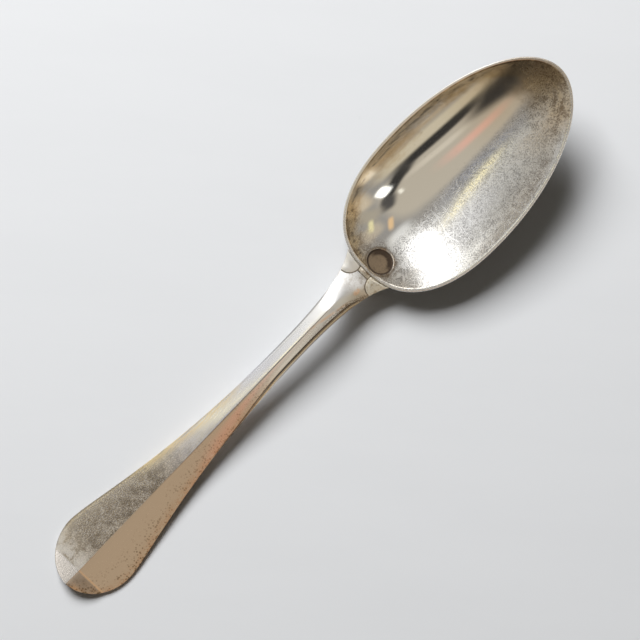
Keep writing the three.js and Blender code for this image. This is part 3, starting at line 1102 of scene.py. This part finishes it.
@dataclass(frozen=True)
class HandleSilver:
    """Silver of the stem: grainy grey left of the ridge, smooth tan right of it, stained at its edges, with
    painted light and shade.
    """

    metal: Colour = (0.96, 0.95, 0.935)
    grey: Colour = (0.91, 0.83, 0.71)
    pits: Colour = (0.36, 0.29, 0.21)
    tan: Colour = (0.73, 0.585, 0.45)
    gold: Colour = (0.95, 0.78, 0.48)
    pale: Colour = (0.64, 0.61, 0.58)
    lilac_reflection_tint: Colour = (0.80, 0.80, 0.87)
    bronze: Colour = (0.60, 0.50, 0.35)
    copper: Colour = (0.66, 0.39, 0.23)
    copper_and_orange_highlight: Colour = (0.98, 0.66, 0.42)
    brown: Colour = (0.22, 0.145, 0.08)
    soot_and_shade: Colour = (0.08, 0.058, 0.038)
    metallic: float = 0.95
    roughness: float = 0.13
    relief: float = 0.035 * MM

    def paint(self) -> bpy.types.Material:
        """Makes the finish.

        Returns:
            The material.
        """
        surface = Surface("handle_silver", self.metal)
        x, y, inset = surface.x, surface.y, surface.inset()
        cloud = surface.noise(0.12, 4.0, 0.6)
        patchy = surface.noise(0.38, 3.0, 0.6, shift=8.0)
        grain = surface.noise(3.0, 3.0, 0.7, shift=4.0)
        streaks = surface.noise((0.06, 2.2, 2.2), 3.0, 0.6, shift=2.0)
        left = y.step(-0.08, 0.08)
        right = 1.0 - left
        # Left of the ridge, the blade is pitted, its turned-up end rubbed, and the shank streaked with a
        # painted lilac reflection tint.
        blade = (x + (cloud - 0.5) * 16.0).step(-36.0, -52.0) * left
        surface.lay(self.grey, blade)
        pitted = (grain * 0.78 + patchy * 0.22).step(0.39, 0.56)
        surface.lay(self.pits, blade * pitted * (0.9 - inset.step(4.5, 0.5) * 0.35))
        surface.lay(self.soot_and_shade, blade * patchy.step(0.48, 0.62) * y.step(8.0, 1.0) * 0.25)
        surface.lay(self.soot_and_shade, left * inset.step(0.7, 0.2) * x.step(16.0, 8.0) * 0.6)
        rubbed = (x.step(-88.0, -97.0) * patchy.step(0.64, 0.46) * 0.65).at_least(x.step(-96.8, -97.6) * 0.8)
        surface.lay(self.metal, left * rubbed)
        surface.lay(self.pale, left * x.step(-97.0, -97.8), Blend.GLAZE)
        shank = x.step(-64.0, -46.0) * x.step(-4.0, -22.0)
        # Painted reflection: a streaked lilac tint on the left of the shank.
        surface.lay(self.lilac_reflection_tint, left * shank * (streaks.step(0.3, 0.65) * 0.35 + 0.4))
        golden = inset.step(3.0, 0.4) * x.step(-72.0, -56.0) * x.step(-20.0, -34.0) * streaks.step(0.35, 0.55)
        surface.lay(self.gold, left * golden * 0.75)
        # Right of it, brown dots and copper gather by the edge, an orange line marks the bend of the end, and
        # a painted dark reflection browns the end beyond it.
        surface.lay(self.tan, right * x.step(-8.0, -34.0))
        dots = surface.specks(1.35).step(0.44, 0.26) * (patchy * 0.6 + cloud * 0.4).step(0.43, 0.54)
        spread_in = inset.step(8.0, 0.5) * (x.step(-62.0, -92.0) * 0.5 + 0.5) * x.step(-12.0, -30.0)
        surface.lay(self.brown, right * dots * spread_in)
        fringe = right * inset.step(3.2, 0.1) * x.step(-8.0, -30.0)
        surface.lay(self.copper, fringe * (grain * 0.6 + patchy * 0.4).step(0.42, 0.55) * 0.6)
        surface.lay(self.brown, fringe * (x.step(-74.0, -90.0) * 0.7 + 0.3) * dots)
        # Painted dark reflection: the right side of the turned-up end is browner.
        surface.lay(self.brown, right * x.step(-97.0, -97.9) * (0.28 + (patchy - 0.5) * 0.6))
        surface.lay(self.copper_and_orange_highlight, right * x.band(-97.25, 0.5) * 0.7)
        # The neck gets a bronze outer third on its right and painted orange highlights, its right side
        # painted shade, and the ridge a dark line.
        surface.lay(self.bronze, right * x.step(10.0, 18.0) * inset.step(4.6, 2.2) * 0.75)
        # Painted highlights: an orange streak and spot on the neck.
        surface.lay(self.copper_and_orange_highlight, self._painted_orange_highlights(surface, patchy))
        self._lay_side_shade(surface, inset, right, grain)
        surface.lay(self.brown, abs(y).step(0.2, 0.02) * x.step(-76.0, -40.0) * x.step(14.0, 6.0) * 0.75)
        surface.lay(self.pits, x.step(12.0, 21.0) * (patchy * 0.6 + grain * 0.4).step(0.45, 0.62) * 0.55)
        neck = x.step(-16.0, 8.0)
        dented = left * x.step(-88.0, -96.0) * x.step(-97.6, -97.0)
        rough = self.roughness + blade * 0.14 + shank * (left * 0.12 + 0.04) + dented * 0.16 + neck * 0.2
        rough = rough + (grain - 0.5) * 0.14 + (streaks - 0.5) * 0.1
        height = streaks * 0.12 + grain * (blade * 0.9 + neck * 0.3 + 0.06)
        return surface.finish(self.metallic, rough, height, self.relief)

    def _painted_orange_highlights(self, surface: Surface, patchy: Shade) -> Shade:
        """A painted orange streak and spot on the neck, highlights that stand in for reflections.

        Args:
            surface: the material's node tree.
            patchy: uneven noise that breaks them up.

        Returns:
            How much of it shows.
        """
        x, y = surface.x, surface.y
        streak = (y + 0.3 + (x - 1.75) * 0.2).band(0.0, 0.65) * x.step(-2.0, 3.0) * x.step(15.0, 11.0)
        along, across = (x - 17.3) / 1.5, (y + 2.3) / 0.9
        spot = (along * along + across * across).step(1.0, 0.2)
        return (streak * 0.55).at_least(spot * 0.7) * patchy.step(0.3, 0.5)

    def _lay_side_shade(self, surface: Surface, inset: Shade, right: Shade, grain: Shade) -> None:
        """Paints shade on the right side of the waist and the neck, with a painted dark reflection along the
        crease over it and a painted gold highlight in it.

        Args:
            surface: the material's node tree.
            inset: the distance in from the outline.
            right: 1 right of the ridge.
            grain: fine noise that mottles the painted shade.
        """
        x = surface.x
        waist = x.step(-50.0, -36.0) * x.step(19.0, 13.0) * right
        crease = x.step(-38.0, -16.0) * x.step(19.0, 12.5) + 0.3
        # Painted shade: the right side of the neck, mottled.
        neck_side_shade = x.step(-4.0, 12.0) * x.step(21.0, 17.0) * right
        surface.lay(self.brown, neck_side_shade * (crease + 1.4 - inset).step(0.0, 1.2) * grain.step(0.4, 0.58))
        below = crease - inset
        # Painted shade on the waist's right side, a painted gold highlight in it and a painted dark
        # reflection along the crease.
        surface.lay(self.brown, waist * below.step(-0.06, 0.06) * (x.step(-24.0, -6.0) * 0.55 + 0.2))
        surface.lay(self.gold, waist * below.band(0.8, 0.26) * 0.6)
        surface.lay(self.soot_and_shade, waist * below.band(0.15, 0.32) * 0.85)


@dataclass(frozen=True)
class NeckSilver:
    """Silver of one small piece of the neck joint.

    Attributes:
        name: the finish's name.
        metal: its colour where it is rubbed.
        stain: its colour where it is tarnished.
        stained: how much of it is tarnished.
        roughness: how rough it is.
        metallic: how metallic it is.
        relief: how deep its fine relief is, in metres.
    """

    name: str
    metal: Colour
    stain: Colour
    stained: float
    roughness: float
    metallic: float = 0.94
    relief: float = 0.01 * MM

    def paint(self) -> bpy.types.Material:
        """Makes the finish.

        Returns:
            The material.
        """
        surface = Surface(self.name, self.metal)
        cloud = surface.noise(0.3, 4.0, 0.6)
        grain = surface.noise(1.6, 3.0, 0.65, shift=5.0)
        surface.lay(self.stain, (cloud * 0.5 + grain * 0.5 + (self.stained - 0.5)).step(0.4, 0.62))
        rough = self.roughness + (grain - 0.5) * 0.2
        return surface.finish(self.metallic, rough, grain, self.relief)


@dataclass
class NeckJoint:
    """The small soldered pieces between bowl and stem, copied from the frame with softened edges."""

    edge_softening: float = 0.14 * MM
    edge_segments: int = 2
    crisp: float = math.radians(35)
    merge_distance: float = 0.001 * MM
    flat_angle: float = math.radians(1.0)
    heel: NeckSilver = NeckSilver("heel_silver", (0.74, 0.69, 0.62), (0.32, 0.24, 0.15), 0.58, 0.32)
    # The lobes are lit and shaded copies of one silver: the left one painted light, the right one painted
    # shade.
    lit_left_lobe: NeckSilver = NeckSilver("shoulder_silver", (0.93, 0.91, 0.87), (0.62, 0.53, 0.42), 0.3, 0.38)
    shaded_right_lobe: NeckSilver = NeckSilver(
        "shaded_shoulder_silver", (0.80, 0.75, 0.64), (0.46, 0.38, 0.26), 0.45, 0.36)
    strip: NeckSilver = NeckSilver("solder", (0.74, 0.68, 0.58), (0.24, 0.17, 0.10), 0.5, 0.34)

    def copy_of(self, node: str) -> bpy.types.Object:
        """A merged copy of a CAD node, with its edges softened.

        Args:
            node: the CAD node's name.

        Returns:
            The copy.
        """
        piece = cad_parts[node].copy()
        piece.data = piece.data.copy()
        piece.parent = None
        piece.name = "spoon_" + node
        piece.data.name = piece.name
        for key in list(piece.keys()):
            del piece[key]
        bpy.context.scene.collection.objects.link(piece)
        select_only(piece)
        bpy.ops.object.mode_set(mode="EDIT")
        bpy.ops.mesh.select_all(action="SELECT")
        bpy.ops.mesh.remove_doubles(threshold=self.merge_distance)
        bpy.ops.mesh.dissolve_limited(angle_limit=self.flat_angle)
        bpy.ops.object.mode_set(mode="OBJECT")
        soft = piece.modifiers.new("soft edges", "BEVEL")
        soft.width = self.edge_softening
        soft.segments = self.edge_segments
        soft.limit_method = "ANGLE"
        soft.angle_limit = self.crisp
        apply_all(piece)
        bpy.ops.object.shade_smooth_by_angle(angle=self.crisp)
        return piece

    def build(self) -> None:
        """Copies and dresses the pieces."""
        dress(self.copy_of("heel_drop"), "heel_drop", self.heel.paint())
        dress(self.copy_of("left_shoulder"), "left_shoulder", self.lit_left_lobe.paint())
        dress(self.copy_of("right_shoulder"), "right_shoulder", self.shaded_right_lobe.paint())
        dress(self.copy_of("neck_seam"), "neck_seam", self.strip.paint())


@dataclass(frozen=True)
class Patch:
    """A soft patch of the surroundings, placed by its angle from straight up, as seen from the spoon.

    Attributes:
        along: degrees from straight up, towards the tip of the bowl.
        across: degrees from straight up, towards the spoon's left.
        reach: half its length and half its width, in degrees.
        turn: how far its length is turned from along to across, in degrees.
        soft: the share of the reach over which it fades.
        colour: its brightness in red, green and blue.
        fullness: how square its corners are, where 2 is round.
    """

    along: float
    across: float
    reach: Pair
    turn: float
    soft: float
    colour: Colour
    fullness: float = 3.5

    def cover(self, along: Shade, across: Shade) -> Shade:
        """How much of the patch is seen in a direction.

        Args:
            along: the direction's angle towards the tip of the bowl, in degrees from straight up.
            across: its angle towards the spoon's left.

        Returns:
            1 in the patch and 0 outside it.
        """
        cosine, sine = math.cos(math.radians(self.turn)), math.sin(math.radians(self.turn))
        ahead, aside = along - self.along, across - self.across
        length = abs((ahead * cosine + aside * sine) / self.reach[0])
        width = abs((aside * cosine - ahead * sine) / self.reach[1])
        distance = (length ** self.fullness + width ** self.fullness) ** (1 / self.fullness)
        return distance.step(1.0, 1.0 - self.soft)


@dataclass
class Studio:
    """The pale table, a soft lamp, the surroundings that the metal mirrors, and the camera."""

    table_colour: Colour = (0.80, 0.815, 0.835)
    table_shade: Colour = (0.765, 0.78, 0.80)
    table_roughness: float = 0.55
    table_reach: float = 4.0
    backdrop: Colour = (0.74, 0.755, 0.77)
    room: Colour = (0.30, 0.29, 0.275)
    fill: Colour = (0.050, 0.045, 0.038)
    lamp_zenith: float = math.radians(48.2)
    lamp_bearing: float = math.radians(65.0)
    lamp_distance: float = 1.5
    lamp_size: Pair = (0.84, 0.7)
    lamp_on_table: float = 0.96
    camera_height: float = 0.6
    pixels: int = 640
    pixels_per_metre: float = 3417.9
    middle_x: float = 4.14 * MM
    middle_y: float = -0.2 * MM
    spoon_turn: float = math.radians(46.22)
    sensor: float = 36.0
    clip_start: float = 0.01
    patches: tuple[Patch, ...] = (
        Patch(-24.0, 60.0, (54.0, 44.0), 0.0, 0.4, (0.52, 0.51, 0.48)),
        Patch(-5.0, 45.0, (18.0, 34.0), 0.0, 0.7, (0.73, 0.73, 0.74)),
        Patch(-50.0, 54.0, (17.0, 26.0), 0.0, 0.7, (0.42, 0.36, 0.28)),
        Patch(-20.0, -31.0, (48.0, 36.0), 0.0, 0.3, (0.50, 0.45, 0.37)),
        Patch(30.0, -62.0, (15.0, 15.0), 0.0, 0.6, (0.60, 0.51, 0.38)),
        Patch(40.0, -22.0, (15.0, 11.0), 0.0, 0.6, (0.50, 0.44, 0.35)),
        Patch(27.0, 5.0, (17.0, 12.0), 0.0, 0.6, (0.82, 0.82, 0.80)),
        Patch(21.0, 38.0, (17.5, 34.0), 0.0, 0.45, (2.4, 2.4, 2.4)),
        Patch(23.0, 70.0, (20.0, 24.0), 0.0, 0.5, (2.4, 2.4, 2.4)),
        Patch(4.0, 85.0, (16.0, 9.0), 0.0, 0.6, (1.5, 1.5, 1.45)),
        Patch(-16.0, 87.0, (22.0, 8.0), 0.0, 0.6, (0.95, 0.94, 0.90)),
        Patch(-24.0, 11.5, (30.0, 7.0), -8.0, 0.5, (0.27, 0.285, 0.34)),
        Patch(-15.0, 26.2, (23.0, 5.0), 8.6, 0.5, (1.45, 1.3, 0.78)),
        Patch(-31.0, -27.3, (27.0, 9.5), -4.0, 0.9, (0.75, 0.46, 0.37)),
        Patch(-16.0, -46.0, (20.0, 5.5), -6.0, 0.7, (0.64, 0.58, 0.48)),
        Patch(-22.0, -70.0, (42.0, 12.0), -6.0, 0.5, (0.60, 0.53, 0.40)),
        Patch(-6.0, -92.0, (66.0, 15.0), 0.0, 0.5, (0.46, 0.37, 0.25)),
        Patch(-70.0, 0.0, (14.0, 44.0), 0.0, 0.6, (0.11, 0.085, 0.055)),
        Patch(-60.0, -32.0, (11.0, 26.0), 18.0, 0.8, (0.06, 0.05, 0.038)),
        Patch(-20.0, -61.8, (29.0, 7.6), 0.0, 0.55, (0.03, 0.028, 0.026)),
        Patch(5.0, -50.5, (18.0, 6.6), 43.0, 0.5, (0.03, 0.028, 0.026)),
        Patch(-50.0, -50.5, (22.0, 18.0), -33.0, 0.65, (0.026, 0.025, 0.025)),
        Patch(15.0, -37.0, (9.0, 11.0), -26.0, 0.6, (0.07, 0.066, 0.062)),
        Patch(32.0, -42.0, (12.0, 18.0), 35.0, 0.7, (0.40, 0.36, 0.29)),
        Patch(24.5, -14.0, (3.4, 9.0), -30.0, 0.6, (0.80, 0.55, 0.30)),
        Patch(36.5, -29.0, (3.2, 10.0), -28.0, 0.6, (0.85, 0.78, 0.45)),
        Patch(11.5, -53.5, (6.0, 8.0), 20.0, 0.6, (2.4, 2.4, 2.3)),
        Patch(4.5, -37.0, (1.8, 4.5), 0.0, 0.6, (1.0, 0.96, 0.84)),
        Patch(11.0, -82.0, (8.0, 6.0), 0.0, 0.7, (1.1, 1.04, 0.92)),
    )

    def add_table(self) -> None:
        """Lays the table under the spoon, with faint brush marks and flecks in its paint."""
        bpy.ops.object.select_all(action="DESELECT")
        bpy.ops.mesh.primitive_plane_add(size=self.table_reach)
        table = bpy.context.active_object
        table.name = "table"
        surface = Surface("table_paint", self.table_colour)
        brushed = surface.noise((0.012, 0.05, 0.05), 4.0, 0.6, turn=0.9).step(0.3, 0.75)
        flecks = surface.specks(0.035).step(0.035, 0.015) * surface.noise(0.01, shift=6.0).step(0.5, 0.6)
        surface.lay(self.table_shade, brushed * 0.35 + flecks * 0.65)
        table.data.materials.append(surface.finish(0.0, self.table_roughness))

    def add_lamp(self) -> None:
        """Hangs the lamp, which the metal doesn't mirror, because the patches stand for it there."""
        flat = math.sin(self.lamp_zenith)
        way = Vector((
            flat * math.cos(self.lamp_bearing),
            flat * math.sin(self.lamp_bearing),
            math.cos(self.lamp_zenith),
        ))
        light = bpy.data.lights.new("window", "AREA")
        light.shape = "RECTANGLE"
        light.size, light.size_y = self.lamp_size
        light.energy = self.lamp_on_table * (math.pi * self.lamp_distance) ** 2 / math.cos(self.lamp_zenith)
        placed = bpy.data.objects.new("window", light)
        bpy.context.scene.collection.objects.link(placed)
        turned = way.to_track_quat("Z", "Y").to_matrix().to_4x4()
        placed.matrix_world = Matrix.Translation(way * self.lamp_distance) @ turned
        placed.visible_glossy = False

    def add_surroundings(self) -> None:
        """Makes the room that the silver mirrors, and the pale backdrop that the camera sees."""
        world = bpy.data.worlds.new("studio")
        bpy.context.scene.world = world
        world.use_nodes = True
        world.cycles.sampling_method = "NONE"
        graph = Graph(world.node_tree)
        x, y, z = graph.split(graph.node("ShaderNodeTexCoord").outputs["Generated"])
        tilt = z.at_most(1.0).at_least(-1.0).arccos() * math.degrees(1.0)
        flat = (x * x + y * y).root().at_least(LEAST_FLAT)
        along, across = tilt * x / flat, tilt * y / flat
        colour: Paint = self.room
        for patch in self.patches:
            colour = graph.mix(patch.cover(along, across), colour, patch.colour)
        path = graph.node("ShaderNodeLightPath").outputs
        shown = graph.mix(Shade(graph, path["Is Glossy Ray"]), self.fill, colour)
        shown = graph.mix(Shade(graph, path["Is Camera Ray"]), shown, self.backdrop)
        light = graph.node("ShaderNodeBackground", inputs={"Color": shown, "Strength": 1.0})
        graph.node("ShaderNodeOutputWorld", inputs={"Surface": light.outputs[0]})

    def add_camera(self) -> None:
        """Sets the camera straight over the spoon, turned as in the photograph."""
        camera = bpy.data.cameras.new("camera")
        camera.sensor_width = self.sensor
        camera.lens = self.sensor * self.camera_height / (self.pixels / self.pixels_per_metre)
        camera.clip_start = self.clip_start
        placed = bpy.data.objects.new("camera", camera)
        placed.location = (self.middle_x, self.middle_y, self.camera_height)
        placed.rotation_euler = (0.0, 0.0, -self.spoon_turn)
        bpy.context.scene.collection.objects.link(placed)
        bpy.context.scene.camera = placed

    def build(self) -> None:
        """Sets everything up."""
        self.add_table()
        self.add_lamp()
        self.add_surroundings()
        self.add_camera()
        bpy.context.scene.view_settings.view_transform = "Standard"


def main() -> None:
    """Builds the spoon and its studio."""
    logging.basicConfig(level=logging.INFO, format="%(name)s: %(message)s")
    bowl = Bowl()
    dress(bowl.build(), "bowl", BowlSilver().paint(bowl))
    dress(Stem().build(), "stem", HandleSilver().paint())
    NeckJoint().build()
    Studio().build()


if __name__ == "__main__":
    main()
